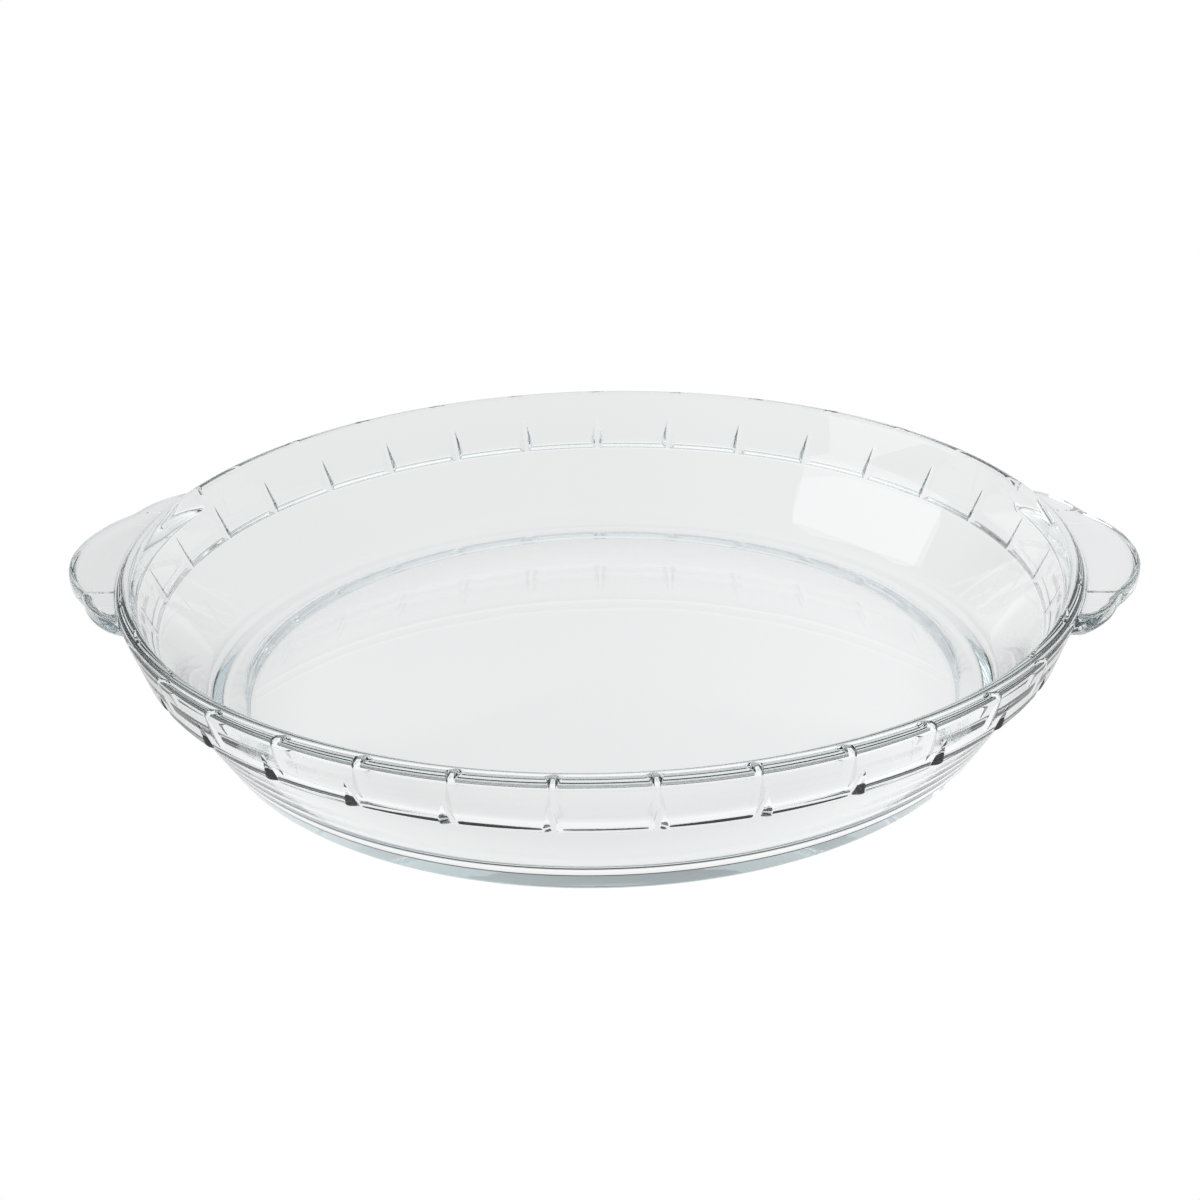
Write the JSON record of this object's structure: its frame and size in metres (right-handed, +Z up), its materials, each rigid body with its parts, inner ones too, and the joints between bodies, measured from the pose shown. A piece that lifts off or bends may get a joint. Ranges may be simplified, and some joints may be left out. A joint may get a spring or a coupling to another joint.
{
  "type": "pie dish",
  "caption": "Round clear glass pie dish with a flat floor, a flared wall under a notched upper band, a rounded rim and a lobed handle on each side",
  "frame": {"origin": "middle of the flat ring that the dish stands on", "axes": "+Z up through the middle of the dish, X through the two handles, -Y the side that faces the viewer in the picture"},
  "size_m": [0.3006, 0.268, 0.0445],
  "materials": {
    "glass": "clear pressed glass, polished"
  },
  "bodies": {
    "root": {"floor": "glass", "foot_ring": "glass", "lower_wall": "glass", "notched_band": "glass", "rim": "glass", "handle_right": "glass", "handle_left": "glass"}
  },
  "joints": []
}
